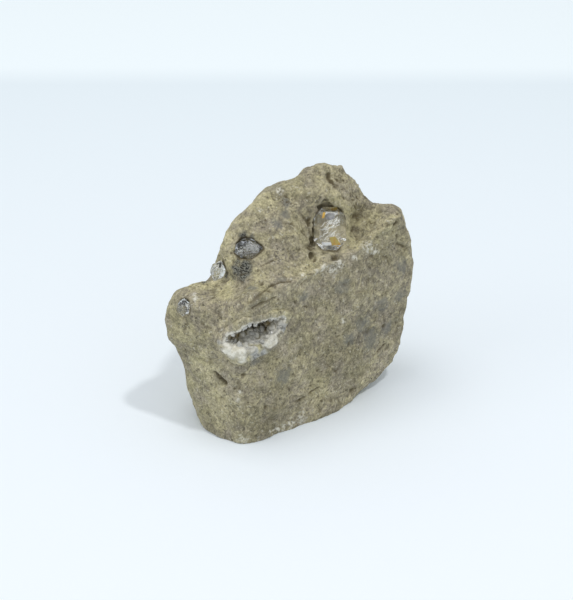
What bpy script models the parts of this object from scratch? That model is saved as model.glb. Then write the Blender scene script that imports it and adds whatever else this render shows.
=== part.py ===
"""A herkimer diamond specimen: clear quartz crystals in a broken block of grey-brown dolostone.

The block stands on a small ground flat, with its largest broken face to the front right.
Lengths are in metres, +Z is up and -Y is the front.
"""

import math
import random

import bmesh
import bpy
from mathutils import Matrix, Vector, noise
from mathutils.bvhtree import BVHTree

MM = 0.001

# Gap left between a crystal and the rock that holds it.
GAP = 0.35 * MM

# Grid of the rock's first closed surface, and the triangles its final surface keeps.
ROCK_GRID = 1.15 * MM
ROCK_TRIANGLES = 4700

# Undulations of each surface: wavelength and height of each band, in millimetres.
ROCK_WAVES = ((19.0, 1.5), (7.5, 0.75), (3.2, 0.38))
VUG_WAVES = ((7.0, 1.1), (2.6, 0.5))
SPACE_WAVES = ((5.0, 1.3), (2.2, 0.8))

# Grid and triangles of the vug and of the open space inside its crust.
VUG_GRID = 1.2 * MM
VUG_TRIANGLES = 360
SPACE_GRID = 1.1 * MM
SPACE_TRIANGLES = 380

# Angle between a quartz crystal's long axis and the normal of its pyramid faces.
PYRAMID_TILT = math.radians(51.8)

# Side of the block that each crystal is cut from, and the tolerances of its cuts.
CRYSTAL_BLOCK = 80 * MM
CUT_TOLERANCE = 0.0001 * MM
EDGE_TOLERANCE = 0.005 * MM

# Corners of the rock's lumps, in millimetres. The block is cut off flat at height 0 afterwards.
TRUNK = (
    (-33.6, -12.6, -5.0),
    (-31.9, -20.2, -5.0),
    (-28.9, -25.2, -5.0),
    (-24.9, -28.6, -5.0),
    (-17.9, -33.2, -5.0),
    (-13.2, -31.9, -5.0),
    (2.9, -20.4, -5.0),
    (14.2, -13.3, -5.0),
    (19.4, -7.0, -5.0),
    (22.6, 0.6, -5.0),
    (19.0, 9.0, -5.0),
    (2.0, 15.0, -5.0),
    (-18.0, 11.0, -5.0),
    (-30.6, -2.0, -5.0),
    (27.0, 2.6, 0.0),
    (33.6, 6.9, 4.2),
    (38.2, 10.4, 8.2),
    (40.2, 12.8, 13.0),
    (41.6, 13.6, 20.4),
    (43.6, 15.3, 32.4),
    (46.0, 17.0, 46.0),
    (45.2, 18.0, 54.0),
    (-14.8, -28.9, 56.0),
    (-19.0, -30.9, 40.0),
    (3.0, -15.9, 56.6),
    (13.6, -8.2, 58.2),
    (29.9, 4.0, 62.8),
    (-24.4, -28.0, 43.0),
    (-33.6, -23.4, 34.0),
    (-40.2, -16.4, 28.4),
    (-38.2, -15.6, 17.0),
    (-36.0, 2.0, 22.0),
    (-26.0, 21.0, 30.0),
    (-2.0, 33.0, 34.0),
    (24.0, 33.0, 30.0),
    (40.0, 27.0, 38.0),
    (-24.0, 10.0, 60.0),
    (2.0, 32.0, 62.0),
    (30.0, 30.0, 58.0),
)
UPPER = (
    (-10.0, -15.5, 59.0),
    (-21.0, -14.0, 58.6),
    (-25.2, -8.0, 58.0),
    (-25.2, -7.4, 66.0),
    (-22.0, -5.4, 71.2),
    (-17.2, -1.0, 76.8),
    (-13.6, 2.0, 79.6),
    (-6.2, 8.0, 82.6),
    (2.2, 12.6, 84.8),
    (4.0, -9.0, 60.0),
    (14.0, 4.0, 70.0),
    (14.0, 12.0, 80.0),
    (24.0, 14.0, 71.0),
    (-20.0, 12.0, 66.0),
    (-8.0, 24.0, 74.6),
    (10.0, 30.0, 72.0),
    (-18.0, 10.0, 50.0),
    (20.0, 26.0, 60.0),
    (20.0, 0.0, 59.0),
)
SUMMIT = (
    (3.6, 15.0, 85.2),
    (6.4, 16.4, 86.6),
    (12.6, 18.6, 86.6),
    (16.9, 20.0, 84.8),
    (18.8, 20.4, 78.6),
    (22.4, 20.6, 74.6),
    (28.4, 21.6, 71.6),
    (2.0, 9.0, 80.0),
    (14.0, 9.6, 77.4),
    (22.0, 13.0, 73.0),
    (28.0, 17.0, 70.0),
    (4.0, 24.0, 80.0),
    (14.0, 29.0, 77.0),
    (24.0, 30.0, 69.0),
    (8.0, 10.0, 66.0),
    (30.0, 26.0, 64.0),
)
SHOULDER = (
    (29.6, 19.0, 71.4),
    (34.4, 22.6, 68.6),
    (37.4, 23.0, 68.0),
    (40.4, 21.6, 66.8),
    (42.2, 19.8, 63.2),
    (44.3, 18.0, 59.1),
    (45.6, 17.2, 52.4),
    (39.4, 11.6, 69.6),
    (36.0, 9.0, 66.6),
    (28.6, 2.8, 62.2),
    (30.0, 28.0, 64.0),
    (38.0, 30.0, 60.0),
    (20.0, 0.0, 50.0),
    (20.0, 20.0, 50.0),
    (24.0, 14.0, 66.0),
)
LOBE = (
    (-44.2, -16.0, 43.6),
    (-43.2, -14.0, 48.8),
    (-41.0, -12.0, 52.4),
    (-36.8, -11.0, 53.6),
    (-32.5, -10.0, 53.8),
    (-27.9, -9.0, 53.8),
    (-35.0, -20.4, 52.4),
    (-32.6, -22.4, 51.4),
    (-43.8, -17.0, 38.0),
    (-42.4, -17.6, 33.4),
    (-24.4, -28.2, 43.0),
    (-33.0, -24.0, 36.0),
    (-38.0, -2.0, 43.0),
    (-33.0, 0.0, 48.0),
    (-36.0, 0.0, 30.0),
    (-27.0, 10.0, 39.0),
    (-22.0, 6.0, 44.0),
    (-20.0, -10.0, 52.0),
    (-20.0, -24.0, 52.0),
    (-38.6, -17.0, 24.0),
    (-30.0, -10.0, 20.0),
)
SHELF = (
    (-14.4, -28.4, 56.8),
    (-20.0, -29.4, 48.0),
    (-25.0, -21.0, 53.6),
    (-24.0, -12.0, 55.4),
    (-10.0, -15.0, 60.4),
    (2.0, -15.8, 57.4),
    (0.0, -10.0, 40.0),
    (-20.0, -10.0, 40.0),
)
BACK = (
    (-25.6, 8.0, 40.0),
    (-22.4, 12.0, 55.0),
    (-18.0, 14.0, 68.0),
    (-6.0, 26.0, 70.0),
    (10.0, 31.0, 70.0),
    (24.0, 31.0, 64.0),
    (34.0, 30.0, 58.0),
    (40.0, 27.0, 50.0),
    (36.0, 31.0, 40.0),
    (0.0, 34.0, 50.0),
    (-20.0, 22.0, 44.0),
    (-10.0, 10.0, 40.0),
    (26.0, 16.0, 50.0),
    (30.0, 22.0, 66.0),
    (16.0, 18.0, 70.0),
    (-14.0, 8.0, 72.0),
)

# Outward normal of the upper face, which the main crystal lies in.
UPPER_FACE = (0.326, -0.662, 0.675)

# Smooth hollows in the rock: centre, the direction that each leans in, the way that it faces,
# and its three radii, in millimetres.
BOWLS = (
    # The bowl round the main crystal, and the trough from it to the notch beside the summit.
    ((13.6, -1.2, 71.6), (0.0, 0.743, 0.669), UPPER_FACE, (13.4, 8.2, 13.4)),
    ((27.0, 7.0, 74.4), (0.5, 0.72, 0.46), UPPER_FACE, (8.6, 6.4, 12.6)),
)
HOLLOWS = (
    # The hole above the second crystal, and the shallow mould of a lost crystal below it.
    ((-16.2, -7.6, 70.8), (1.0, 0.0, 0.0), (0.0, -0.75, 0.66), (1.5, 1.6, 2.4)),
    ((-17.1, -14.4, 61.4), (0.0, 0.6, 0.8), (-0.2, -0.82, 0.54), (3.0, 2.0, 3.7)),
    # The socket of the lobe crystal, and the groove that runs down from it.
    ((-37.9, -20.8, 48.6), (0.1, 0.1, 1.0), (-0.64, -0.72, 0.27), (3.1, 2.9, 4.9)),
    ((-36.7, -22.0, 42.6), (0.25, 0.0, 1.0), (-0.55, -0.82, 0.1), (0.8, 1.1, 3.0)),
    # The open gaps on the main crystal's left and above it.
    ((8.6, 3.6, 66.4), (0.1, 0.743, 0.669), UPPER_FACE, (1.2, 4.2, 6.4)),
    ((12.4, 10.2, 73.4), (1.0, 0.1, 0.0), UPPER_FACE, (1.5, 3.0, 3.4)),
    # Two pits below the main crystal, and the groove between the knobs of the summit.
    ((8.4, -5.2, 61.4), (0.2, 0.5, 0.8), UPPER_FACE, (1.6, 1.9, 2.5)),
    ((15.3, -5.2, 60.6), (1.0, 0.2, 0.0), UPPER_FACE, (1.1, 1.7, 1.7)),
    ((15.0, 14.4, 84.0), (0.62, -0.3, -0.72), (0.0, -0.6, 0.8), (1.5, 1.7, 3.2)),
)

# Small pits and slots of the broken faces, seen from the front: place across and up, direction of
# the slot across and up, half width, half length and depth, in millimetres. Each is an ellipsoid
# whose middle stands this share of its depth outside the surface.
PIT_RAISE = 0.3
PITS = (
    (-25.0, 25.2, 0.65, -0.76, 0.75, 3.1, 2.0),
    (-17.0, 27.8, 0.0, 1.0, 0.5, 1.1, 1.3),
    (-6.9, 25.1, 0.2, 1.0, 0.5, 1.1, 1.2),
    (-5.2, 30.5, 0.1, 1.0, 0.5, 0.9, 1.1),
    (-22.3, 9.3, 1.0, -0.2, 0.45, 1.3, 0.9),
    (-9.1, 13.2, 1.0, 0.0, 0.45, 0.6, 0.9),
    (22.4, 5.6, 0.4, 1.0, 0.8, 1.0, 1.8),
    (31.4, 38.4, 1.0, 0.45, 0.45, 1.6, 1.2),
    (33.8, 26.5, 1.0, 0.3, 0.4, 0.8, 0.9),
    (36.8, 67.0, 0.5, 0.8, 0.7, 1.1, 1.2),
)

# The vug's mouth and its back, then the open space inside its crust, in millimetres.
VUG = (
    (-27.4, -33.0, 41.6),
    (-25.4, -34.0, 36.6),
    (-21.6, -35.0, 33.0),
    (-16.0, -35.0, 31.6),
    (-8.0, -31.0, 32.4),
    (-3.8, -28.0, 37.8),
    (0.6, -23.8, 43.6),
    (4.6, -21.4, 46.6),
    (-2.4, -25.0, 48.8),
    (-10.4, -30.0, 50.4),
    (-16.4, -34.6, 50.4),
    (-22.0, -34.0, 47.2),
    (-21.0, -19.0, 45.6),
    (-19.4, -16.4, 36.4),
    (-12.0, -13.6, 36.0),
    (-6.0, -12.6, 42.0),
    (-7.0, -12.6, 49.6),
    (-16.0, -15.6, 50.8),
)
VUG_SPACE = (
    (-25.2, -36.0, 41.8),
    (-22.6, -37.0, 38.6),
    (-17.2, -37.6, 38.2),
    (-9.8, -33.4, 37.8),
    (-5.4, -30.0, 40.2),
    (0.0, -25.4, 44.2),
    (1.0, -24.0, 45.6),
    (-3.0, -27.0, 46.8),
    (-10.4, -31.6, 48.0),
    (-15.6, -35.6, 48.2),
    (-21.2, -35.6, 44.6),
    (-19.0, -20.2, 43.8),
    (-17.4, -18.6, 38.6),
    (-12.2, -16.2, 38.6),
    (-8.2, -15.4, 42.4),
    (-8.8, -15.4, 47.4),
    (-15.0, -17.6, 48.4),
)

# The small crystals that stand on the crust: how many, how deep under the rock's skin the lowest
# may stand, how far each is rooted in the crust, the least and greatest radius, the length as
# multiples of the radius, and the lean from upright.
CRUST_POINTS = 40
POINT_DEPTH = 1.2 * MM
POINT_ROOT = 0.55 * MM
POINT_RADIUS = (0.7, 1.6)
POINT_LENGTH = (1.5, 2.3)
POINT_LEAN = 0.5

# A quartz crystal: six prism faces, then the pyramid faces of its top and of its bottom, as
# distances from its centre; then its centre, the way its long axis runs and the way its front
# faces. The first of each six faces is the front one. Lengths in millimetres.
CRYSTALS = {
    "main_crystal": (
        (4.2, 4.95, 4.9, 3.7, 4.95, 5.0),
        (5.64, 6.84, 6.2, 4.2, 6.3, 6.95),
        (5.63, 6.95, 6.5, 4.7, 6.6, 6.8),
        (14.4, 5.8, 66.9),
        (0.0, 0.743, 0.669),
        (-0.04, -0.669, 0.743),
    ),
    "second_crystal": (
        (2.8, 3.2, 3.1, 2.6, 3.0, 3.2),
        (3.7, 3.4, 3.5, 3.6, 3.8, 3.3),
        (3.3, 3.9, 3.4, 3.3, 3.1, 3.7),
        (-15.0, -8.1, 66.5),
        (0.97, -0.14, 0.1),
        (0.0, -0.76, 0.65),
    ),
    "ledge_crystal": (
        (2.1, 2.3, 2.2, 2.1, 2.3, 2.2),
        (2.7, 2.4, 2.6, 2.5, 2.7, 2.6),
        (2.5, 2.8, 2.6, 2.7, 2.5, 2.7),
        (-25.5, -9.8, 58.5),
        (0.34, 0.1, 0.93),
        (-0.2, -0.9, 0.3),
    ),
    "lobe_crystal": (
        (2.0, 2.3, 2.2, 2.0, 2.3, 2.2),
        (2.5, 2.4, 2.4, 2.2, 2.6, 2.4),
        (2.5, 2.6, 2.4, 2.5, 2.4, 2.6),
        (-37.3, -19.8, 49.4),
        (0.16, -0.1, 0.98),
        (-0.6, -0.75, 0.2),
    ),
}

PARTS = "herkimer_specimen"
CUTTERS = "cutters"


def new_collection(name):
    collection = bpy.data.collections.new(name)
    bpy.context.scene.collection.children.link(collection)
    return collection


def clear_scene():
    for obj in list(bpy.data.objects):
        bpy.data.objects.remove(obj, do_unlink=True)


def object_from(bm, name, collection):
    mesh = bpy.data.meshes.new(name)
    bm.to_mesh(mesh)
    bm.free()
    obj = bpy.data.objects.new(name, mesh)
    collection.objects.link(obj)
    return obj


def hull_into(bm, corners):
    """Adds the convex lump that the corners span, in millimetres."""
    verts = [bm.verts.new(Vector(corner) * MM) for corner in corners]
    result = bmesh.ops.convex_hull(bm, input=verts, use_existing_faces=False)
    loose = result["geom_interior"] + result["geom_unused"]
    inside = {item for item in loose if isinstance(item, bmesh.types.BMVert)}
    bmesh.ops.delete(bm, geom=list(inside), context="VERTS")


def with_modifiers_applied(obj):
    graph = bpy.context.evaluated_depsgraph_get()
    mesh = bpy.data.meshes.new_from_object(obj.evaluated_get(graph))
    obj.modifiers.clear()
    old = obj.data
    obj.data = mesh
    bpy.data.meshes.remove(old)


def boolean(obj, other, operation):
    modifier = obj.modifiers.new(operation.lower(), "BOOLEAN")
    modifier.operation = operation
    modifier.object = other
    with_modifiers_applied(obj)


def as_cutter(obj):
    obj.hide_render = True
    obj.display_type = "WIRE"
    return obj


def copy_of(obj, name, collection):
    twin = bpy.data.objects.new(name, obj.data.copy())
    collection.objects.link(twin)
    return twin


def voxel_skin(obj, grid):
    modifier = obj.modifiers.new("skin", "REMESH")
    modifier.mode = "VOXEL"
    modifier.voxel_size = grid
    with_modifiers_applied(obj)


def soften(obj, factor, times):
    modifier = obj.modifiers.new("soften", "SMOOTH")
    modifier.factor = factor
    modifier.iterations = times
    with_modifiers_applied(obj)


def move_along_normals(obj, distance_at):
    bm = bmesh.new()
    bm.from_mesh(obj.data)
    bm.normal_update()
    moves = [vert.normal * distance_at(vert.co) for vert in bm.verts]
    for vert, move in zip(bm.verts, moves):
        vert.co += move
    bm.to_mesh(obj.data)
    bm.free()


def roughen(obj, waves, origin):
    def rise(point):
        total = 0.0
        for length, height in waves:
            total += height * MM * noise.noise(point / (length * MM) + Vector(origin))
        return total

    move_along_normals(obj, rise)


def thin_out(obj, triangles):
    obj.modifiers.new("triangles", "TRIANGULATE")
    with_modifiers_applied(obj)
    modifier = obj.modifiers.new("thin", "DECIMATE")
    modifier.ratio = min(1.0, triangles / len(obj.data.polygons))
    with_modifiers_applied(obj)


def axes(along, front):
    """A turn whose +Z runs along the first direction and whose -Y faces the second."""
    z = Vector(along).normalized()
    y = -(Vector(front) - Vector(front).dot(z) * z).normalized()
    x = y.cross(z)
    return Matrix((x, y, z)).transposed().to_4x4()


def place_of(centre, along, front):
    return Matrix.Translation(Vector(centre) * MM) @ axes(along, front)


def ellipsoid(name, fineness, centre, along, front, radii):
    bm = bmesh.new()
    bmesh.ops.create_icosphere(bm, subdivisions=fineness, radius=1.0)
    obj = as_cutter(object_from(bm, name, cutters))
    shape = Matrix.Diagonal(Vector(radii) * MM).to_4x4()
    obj.data.transform(place_of(centre, along, front) @ shape)
    return obj


def keep_inside(bm, normal, distance):
    """Cuts the solid by one flat face and closes it there."""
    made = bmesh.ops.bisect_plane(
        bm,
        geom=bm.verts[:] + bm.edges[:] + bm.faces[:],
        dist=CUT_TOLERANCE,
        plane_co=normal * distance,
        plane_no=normal,
        clear_outer=True,
    )
    rim = [item for item in made["geom_cut"] if isinstance(item, bmesh.types.BMEdge)]
    if rim:
        bmesh.ops.edgeloop_fill(bm, edges=rim)


def quartz(name, prism, top, bottom, collection, grow=0.0):
    """A block cut by the faces of a quartz crystal, each moved out by grow.

    A crystal with no bottom faces is cut off flat at its centre.
    """
    bm = bmesh.new()
    bmesh.ops.create_cube(bm, size=CRYSTAL_BLOCK)
    lean = math.sin(PYRAMID_TILT)
    rise = Vector((0.0, 0.0, math.cos(PYRAMID_TILT)))
    for k in range(6):
        turn = math.radians(60 * k)
        side = Vector((math.sin(turn), -math.cos(turn), 0.0))
        keep_inside(bm, side, prism[k] * MM + grow)
        keep_inside(bm, side * lean + rise, top[k] * MM + grow)
        if bottom:
            keep_inside(bm, side * lean - rise, bottom[k] * MM + grow)
    if not bottom:
        keep_inside(bm, Vector((0.0, 0.0, -1.0)), 0.0)
    bmesh.ops.dissolve_degenerate(bm, dist=EDGE_TOLERANCE, edges=bm.edges)
    bmesh.ops.recalc_face_normals(bm, faces=bm.faces)
    return object_from(bm, name, collection)


def seated_crystal(name, spec):
    """The crystal's own object, and the clear space that the rock keeps round it."""
    prism, top, bottom, centre, along, front = spec
    obj = quartz(name, prism, top, bottom, parts)
    seat = as_cutter(quartz(name + "_seat", prism, top, bottom, cutters, GAP))
    obj.matrix_world = seat.matrix_world = place_of(centre, along, front)
    return obj, seat


def surface_of(obj):
    bm = bmesh.new()
    bm.from_mesh(obj.data)
    tree = BVHTree.FromBMesh(bm)
    bm.free()
    return tree


def painted(obj, name, color, roughness, transmission=0.0):
    material = bpy.data.materials.new(name)
    material.use_nodes = True
    shader = material.node_tree.nodes["Principled BSDF"]
    shader.inputs["Base Color"].default_value = (*color, 1.0)
    shader.inputs["Roughness"].default_value = roughness
    shader.inputs["Metallic"].default_value = 0.0
    shader.inputs["Transmission Weight"].default_value = transmission
    obj.data.materials.clear()
    obj.data.materials.append(material)


clear_scene()
parts = new_collection(PARTS)
cutters = new_collection(CUTTERS)
dice = random.Random(41)

# The rock: overlapping broken lumps made one closed skin, then softened and roughened.
bm = bmesh.new()
for corners in (TRUNK, UPPER, SUMMIT, SHOULDER, LOBE, SHELF, BACK):
    hull_into(bm, corners)
rock = object_from(bm, "matrix", parts)
voxel_skin(rock, ROCK_GRID)
for k, hollow in enumerate(BOWLS):
    boolean(rock, ellipsoid("bowl_" + str(k), 3, *hollow), "DIFFERENCE")
voxel_skin(rock, ROCK_GRID)
soften(rock, 0.5, 4)
roughen(rock, ROCK_WAVES, (3.1, 7.7, 1.3))
thin_out(rock, ROCK_TRIANGLES)
skin = as_cutter(copy_of(rock, "rock_skin", cutters))
surface = surface_of(skin)

# Smaller hollows, pits and slots.
for k, hollow in enumerate(HOLLOWS):
    boolean(rock, ellipsoid("hollow_" + str(k), 2, *hollow), "DIFFERENCE")
for k, (across, up, slant_x, slant_z, half_width, half_length, depth) in enumerate(PITS):
    start = Vector((across, -90.0, up)) * MM
    spot, normal, _, _ = surface.ray_cast(start, Vector((0.0, 1.0, 0.0)))
    centre = spot / MM + normal * depth * PIT_RAISE
    slant = Vector((slant_x, 0.0, slant_z))
    along = slant - slant.dot(normal) * normal
    pit = ellipsoid("pit_" + str(k), 1, centre, along, normal, (half_width, depth, half_length))
    boolean(rock, pit, "DIFFERENCE")

# The vug: a rounded hollow through the block's front edge, and the crust that lines it.
bm = bmesh.new()
hull_into(bm, VUG)
vug = as_cutter(object_from(bm, "vug", cutters))
voxel_skin(vug, VUG_GRID)
soften(vug, 0.5, 4)
roughen(vug, VUG_WAVES, (9.0, 2.0, 4.0))
thin_out(vug, VUG_TRIANGLES)
boolean(rock, vug, "DIFFERENCE")

crust = copy_of(vug, "druse_crust", parts)
move_along_normals(crust, lambda point: -GAP)
boolean(crust, skin, "INTERSECT")
bm = bmesh.new()
hull_into(bm, VUG_SPACE)
space = as_cutter(object_from(bm, "vug_space", cutters))
voxel_skin(space, SPACE_GRID)
soften(space, 0.5, 3)
roughen(space, SPACE_WAVES, (1.0, 5.0, 8.0))
thin_out(space, SPACE_TRIANGLES)
boolean(crust, space, "DIFFERENCE")

# Small crystals that stand on the crust inside the vug, under the rock's skin.
faces = list(space.data.polygons)
areas = [face.area for face in faces]
points = []
while len(points) < CRUST_POINTS:
    face = dice.choices(faces, areas)[0]
    nearest, outward, _, _ = surface.find_nearest(face.center)
    if (face.center - nearest).dot(outward) > -POINT_DEPTH:
        continue
    radius = dice.uniform(*POINT_RADIUS)
    length = radius * dice.uniform(*POINT_LENGTH)
    sides = [radius * dice.uniform(0.8, 1.1) for _ in range(6)]
    reach = length * math.cos(PYRAMID_TILT)
    caps = [reach * dice.uniform(0.92, 1.25) for _ in range(6)]
    point = as_cutter(quartz("point_" + str(len(points)), sides, caps, None, cutters))
    lean = Vector([dice.uniform(-POINT_LEAN, POINT_LEAN) for _ in range(3)])
    front = Vector([dice.uniform(-1.0, 1.0) for _ in range(3)])
    root = (face.center + face.normal * POINT_ROOT) / MM
    point.data.transform(place_of(root, lean - face.normal, front))
    boolean(crust, point, "UNION")
    points.append(point)

# The four crystals and their seats in the rock.
for name, spec in CRYSTALS.items():
    obj, seat = seated_crystal(name, spec)
    boolean(rock, seat, "DIFFERENCE")
    painted(obj, "clear_quartz", (0.9, 0.92, 0.95), 0.03, 1.0)

# The flat that the block stands on.
bm = bmesh.new()
bm.from_mesh(rock.data)
keep_inside(bm, Vector((0.0, 0.0, -1.0)), 0.0)
bm.to_mesh(rock.data)
bm.free()

painted(rock, "dolostone", (0.27, 0.25, 0.18), 0.85)
painted(crust, "druse_quartz", (0.68, 0.67, 0.6), 0.35)

# The origin is under the middle of the specimen, on the surface it stands on.
corners = [obj.matrix_world @ vert.co for obj in parts.objects for vert in obj.data.vertices]
lows = [min(corner[axis] for corner in corners) for axis in range(3)]
highs = [max(corner[axis] for corner in corners) for axis in range(3)]
origin = bpy.data.objects.new("specimen_origin", None)
for obj in parts.objects:
    obj.parent = origin
parts.objects.link(origin)
origin.location = (-(lows[0] + highs[0]) / 2, -(lows[1] + highs[1]) / 2, -lows[2])
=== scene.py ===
"""Looks of a herkimer diamond specimen: clear quartz crystals in a block of grey-brown dolostone.

Lengths are in metres, +Z is up and -Y is the front. Each section below finishes one piece.
"""

import math
import random

import bmesh
import bpy
import numpy as np
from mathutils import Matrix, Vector, noise
from mathutils.bvhtree import BVHTree
from mathutils.kdtree import KDTree


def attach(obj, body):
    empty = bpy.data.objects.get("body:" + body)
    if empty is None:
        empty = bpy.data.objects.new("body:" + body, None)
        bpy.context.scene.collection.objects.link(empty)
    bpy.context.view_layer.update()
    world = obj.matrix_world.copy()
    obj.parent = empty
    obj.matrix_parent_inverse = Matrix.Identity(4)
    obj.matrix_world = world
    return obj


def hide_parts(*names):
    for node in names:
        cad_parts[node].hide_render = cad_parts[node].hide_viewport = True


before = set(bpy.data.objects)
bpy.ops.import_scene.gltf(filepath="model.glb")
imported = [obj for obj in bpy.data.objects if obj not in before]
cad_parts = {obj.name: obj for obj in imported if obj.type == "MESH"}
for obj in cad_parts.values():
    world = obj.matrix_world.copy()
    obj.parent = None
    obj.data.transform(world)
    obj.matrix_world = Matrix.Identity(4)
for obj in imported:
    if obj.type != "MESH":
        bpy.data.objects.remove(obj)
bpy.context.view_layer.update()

scene = bpy.context.scene
MM = 0.001

# The block of rock.
# A broken lump of dolostone: a granular, sugary rock with a rough fracture on every side, small
# pores, cream crusts and stains. Its fine surface is raised on a close skin of the solid. Its
# colour holds painted shade in its hollows, round the crystals and on its front right face, a
# painted highlight with dust on raised edges, and painted light in the sockets behind the crystals.

ROCK_GRID = 0.55 * MM
ROCK_SMOOTHING = 3

# Flat chips of the fracture: width of the chips, how far each leans, and how far it steps in or
# out, with the two lengths in millimetres. Their outlines wander this far, over this length.
CHIPS = ((9.0, 0.09, 0.22), (3.8, 0.12, 0.08))
CHIP_WANDER = 1.6
CHIP_WANDER_LENGTH = 6.0

# Wavelength and height of each band of the sugary grain, in millimetres.
GRAIN = ((2.5, 0.09), (1.25, 0.11))

# The sharp edge between the upper face and the front right face: a line near it, how far the
# sharpening reaches from that line, and the radius of the solid's rounded edge, in millimetres.
ARRIS = (
    (-13.6, -27.6, 56.0),
    (-8.3, -24.2, 57.2),
    (-2.3, -19.7, 57.2),
    (3.0, -15.6, 57.4),
    (7.2, -12.0, 57.8),
    (13.6, -7.0, 58.0),
    (19.0, -3.3, 58.9),
    (24.5, 0.8, 60.4),
    (29.9, 5.0, 63.2),
    (34.6, 8.2, 66.6),
    (39.0, 11.8, 69.1),
)
ARRIS_REACH = 6.0
ARRIS_RADIUS = 3.0

# Where the fracture is most rugged: centre and radius, in millimetres. The chips and the grain
# have their calm share of height elsewhere, and gain some where it is rugged.
CALM_CHIPS = 0.75
CALM_GRAIN = 0.8
RUGGED_GAIN = 0.8
RUGGED_FADE = 8.0
RUGGED = (
    ((17.0, 16.0, 80.0), 8.0),
    ((25.0, 15.0, 72.0), 6.0),
    ((35.0, 11.0, 66.0), 6.0),
    ((8.0, 1.0, 65.0), 4.0),
    ((0.0, 40.0, 40.0), 34.0),
)

# Pores seen on the broken faces: centre, radius and depth, in millimetres.
PORES = (
    ((-17.0, -30.8, 27.8), 0.9, 0.8),
    ((-9.1, -29.0, 13.2), 0.8, 0.6),
    ((3.1, -19.8, 10.4), 0.7, 0.6),
    ((33.8, 5.3, 26.5), 0.8, 0.6),
    ((-5.2, -24.5, 30.5), 0.8, 0.6),
    ((37.6, 10.0, 66.4), 1.3, 1.0),
    ((34.6, 8.6, 66.9), 0.9, 0.8),
    ((22.6, -4.9, 4.9), 1.8, 1.2),
    ((-7.8, -23.2, 57.6), 0.9, 0.8),
    ((11.9, 9.0, 76.0), 1.0, 1.2),
    ((5.9, 4.5, 70.4), 0.9, 0.8),
    ((6.9, -2.4, 63.4), 1.4, 1.5),
    ((7.3, -4.6, 61.6), 1.1, 1.3),
    ((15.2, -3.8, 60.0), 1.5, 1.7),
)

# Sharp steps and cracks of the fracture: the points of each line, its half width and its depth,
# in millimetres.
CRACKS = (
    (
        (
            (-15.2, -28.2, 55.6),
            (-13.5, -27.7, 56.1),
            (-11.7, -26.1, 57.2),
            (-10.0, -24.4, 57.9),
            (-7.2, -20.2, 58.3),
            (-4.1, -18.3, 58.4),
            (-0.6, -16.9, 58.0),
        ),
        0.42,
        0.60,
    ),
    (
        ((-13.8, -28.5, 53.8), (-11.4, -26.9, 54.5), (-8.3, -24.7, 54.8), (-5.5, -22.5, 54.7)),
        0.32,
        0.36,
    ),
    (((-10.4, -13.4, 62.1), (-7.6, -11.9, 62.9), (-5.2, -10.6, 63.3)), 0.34, 0.34),
    (((-18.2, -14.4, 59.0), (-10.4, -14.5, 61.1)), 0.35, 0.25),
    (((1.4, -21.0, 10.4), (5.5, -17.8, 11.0), (9.6, -14.8, 12.4)), 0.4, 0.45),
    (((12.4, -12.5, 21.5), (14.4, -11.4, 18.8), (16.1, -10.5, 16.5)), 0.4, 0.5),
    (((7.0, 0.4, 64.6), (6.0, 3.4, 68.4), (6.6, 6.0, 71.0)), 0.5, 0.8),
    (((31.8, 4.0, 16.2), (34.0, 6.1, 17.9)), 0.5, 0.5),
    (((-26.9, -27.4, 26.8), (-25.8, -28.0, 25.4), (-23.8, -28.9, 23.4)), 0.95, 1.8),
    (((13.0, 15.1, 83.8), (13.4, 13.6, 82.4), (15.5, 12.9, 80.4)), 0.9, 0.9),
)

# Cream crusts on the rock: how thick they are, and centre and radius of each, in millimetres.
CREAM_RISE = 0.10
CREAM_PATCHES = (
    ((8.6, -10.2, 57.8), 1.5),
    ((11.6, -8.0, 58.4), 2.4),
    ((14.6, -7.4, 57.4), 2.8),
    ((17.2, -5.0, 58.2), 2.0),
    ((4.0, -13.4, 58.2), 1.4),
    ((-0.2, -16.0, 58.8), 1.0),
    ((28.1, 3.2, 60.2), 2.8),
    ((26.0, 2.4, 60.4), 2.0),
    ((30.4, 4.6, 58.0), 2.4),
    ((22.4, -0.6, 58.6), 1.8),
    ((34.3, 9.6, 67.6), 1.2),
    ((-4.6, 8.0, 80.6), 1.9),
    ((2.0, 10.0, 83.6), 1.3),
    ((-11.9, 0.0, 76.9), 1.1),
    ((-18.2, -31.9, 21.4), 1.1),
    ((-19.0, -32.4, 18.5), 1.4),
    ((-17.6, -31.4, 1.5), 3.0),
    ((-12.0, -28.5, 1.0), 2.6),
    ((-8.5, -26.2, 1.0), 3.0),
    ((-5.0, -24.0, 1.2), 3.6),
    ((-1.0, -21.0, 1.6), 3.0),
    ((3.0, -18.4, 1.8), 3.2),
    ((-33.8, -20.6, 52.4), 1.9),
    ((-34.4, -17.9, 53.0), 1.3),
    ((18.5, -6.9, 35.8), 1.1),
    ((-20.6, -29.0, 46.0), 1.8),
    ((-24.0, -28.6, 44.0), 1.5),
    ((-14.6, -29.8, 49.0), 1.4),
)

# Grey stains: centre and radius of each, in millimetres.
GREY_STAINS = (
    ((4.4, -14.6, 50.2), 2.6),
    ((29.0, 1.2, 23.4), 5.5),
    ((25.6, -0.6, 31.0), 5.0),
    ((33.0, 4.6, 36.0), 4.0),
    ((20.4, -5.6, 27.6), 3.4),
    ((35.0, 7.0, 25.0), 4.0),
    ((-2.7, -23.2, 22.7), 4.4),
    ((-1.6, 4.5, 77.7), 2.6),
    ((-2.4, 1.2, 74.8), 2.2),
    ((-5.0, -1.8, 73.0), 2.4),
    ((39.6, 11.0, 36.0), 4.0),
    ((39.8, 12.0, 48.0), 4.0),
    ((-3.0, -17.6, 60.0), 2.6),
    ((19.0, -6.2, 50.0), 4.0),
    ((-12.9, -28.6, 32.0), 2.6),
    ((-14.0, -22.0, 58.4), 2.0),
    ((-10.0, -20.0, 60.0), 1.6),
)

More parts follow.
